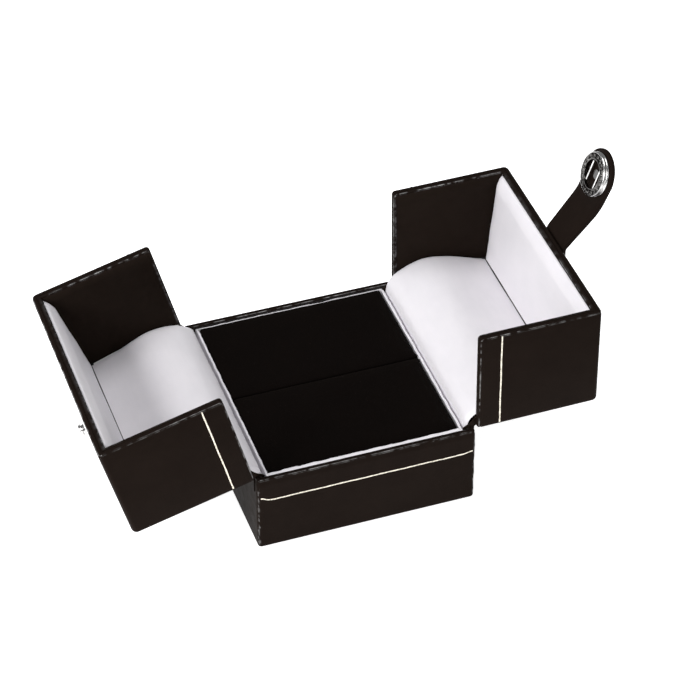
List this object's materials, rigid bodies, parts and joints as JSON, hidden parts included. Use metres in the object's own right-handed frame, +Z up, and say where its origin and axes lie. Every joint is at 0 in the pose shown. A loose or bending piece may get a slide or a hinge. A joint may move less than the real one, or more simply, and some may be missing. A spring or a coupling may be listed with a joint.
{
  "type": "jewelry box",
  "caption": "Square leatherette ring box with two side-hinged doors, satin humps over the hinges, a slit velvet ring pad and a strap tab with a snap.",
  "frame": {"origin": "centre of the base's underside, on the surface that the box stands on", "axes": "+X towards the door that carries the tab, -Y out of the front, +Z up"},
  "size_m": [0.1506, 0.0678, 0.0792],
  "materials": {
    "shell": "pressed fibreboard",
    "leatherette": "fine pebble grain, semi-gloss",
    "leatherette_inside": "fine pebble grain, semi-gloss",
    "underlay": "matte embossed paper",
    "gold_foil": "bright foil",
    "satin": "smooth satin sheen",
    "wadding": "soft matte",
    "card": "matte",
    "velvet": "deep pile, matte",
    "spring_steel": "bright drawn",
    "bright_steel": "bright nickel",
    "cap_paint": "black gloss"
  },
  "bodies": {
    "base": {"base_shell": "shell", "base_wrap": "leatherette", "base_underlay": "underlay", "base_gold_line": "gold_foil", "base_lining": "satin", "foam_riser": "wadding", "pad_card": "card", "front_pad": "velvet", "back_pad": "velvet", "left_spine_lower": "leatherette", "left_gussets": "leatherette_inside", "left_hump_hem": "satin", "right_spine_lower": "leatherette", "right_gussets": "leatherette_inside", "right_hump_hem": "satin"},
    "left_door": {"left_spine_upper": "leatherette", "left_door_shell": "shell", "left_door_wrap": "leatherette", "left_gold_line": "gold_foil", "left_front_facing": "leatherette_inside", "left_back_facing": "leatherette_inside", "left_top_card": "card", "left_top_satin": "satin", "left_hump_satin": "satin", "left_hump_wadding": "wadding", "left_hump_spring": "spring_steel", "snap_stud": "bright_steel", "stud_post": "bright_steel"},
    "right_door": {"right_spine_upper": "leatherette", "right_door_shell": "shell", "right_door_wrap": "leatherette", "right_gold_line": "gold_foil", "right_front_facing": "leatherette_inside", "right_back_facing": "leatherette_inside", "right_top_card": "card", "right_top_satin": "satin", "right_hump_satin": "satin", "right_hump_wadding": "wadding", "right_hump_spring": "spring_steel", "tab_anchor": "leatherette"},
    "tab_neck": {"tab_neck": "leatherette"},
    "tab_end": {"tab_end": "leatherette", "snap_socket": "bright_steel", "socket_springs": "spring_steel", "snap_cap": "cap_paint"}
  },
  "joints": [
    {"name": "left_door_hinge", "type": "hinge", "parent": "base", "child": "left_door", "pos_m": [-0.03065, 0, 0.02405], "axis": [0, -1, 0], "range_deg": [-105, 10]},
    {"name": "right_door_hinge", "type": "hinge", "parent": "base", "child": "right_door", "pos_m": [0.03065, 0, 0.02405], "axis": [0, 1, 0], "range_deg": [-89.5, 25.5]},
    {"name": "tab_bend", "type": "hinge", "parent": "right_door", "child": "tab_neck", "pos_m": [0.06499, 0, 0.05415], "axis": [0, 1, 0], "range_deg": [-28, 60]},
    {"name": "tab_end_bend", "type": "hinge", "parent": "tab_neck", "child": "tab_end", "pos_m": [0.07392, 0, 0.06519], "axis": [0, 1, 0], "range_deg": [-18.5, 8.7]}
  ],
  "couplings": [
    {"joint": "tab_end_bend", "follows": "tab_bend", "ratio": -0.30357}
  ]
}
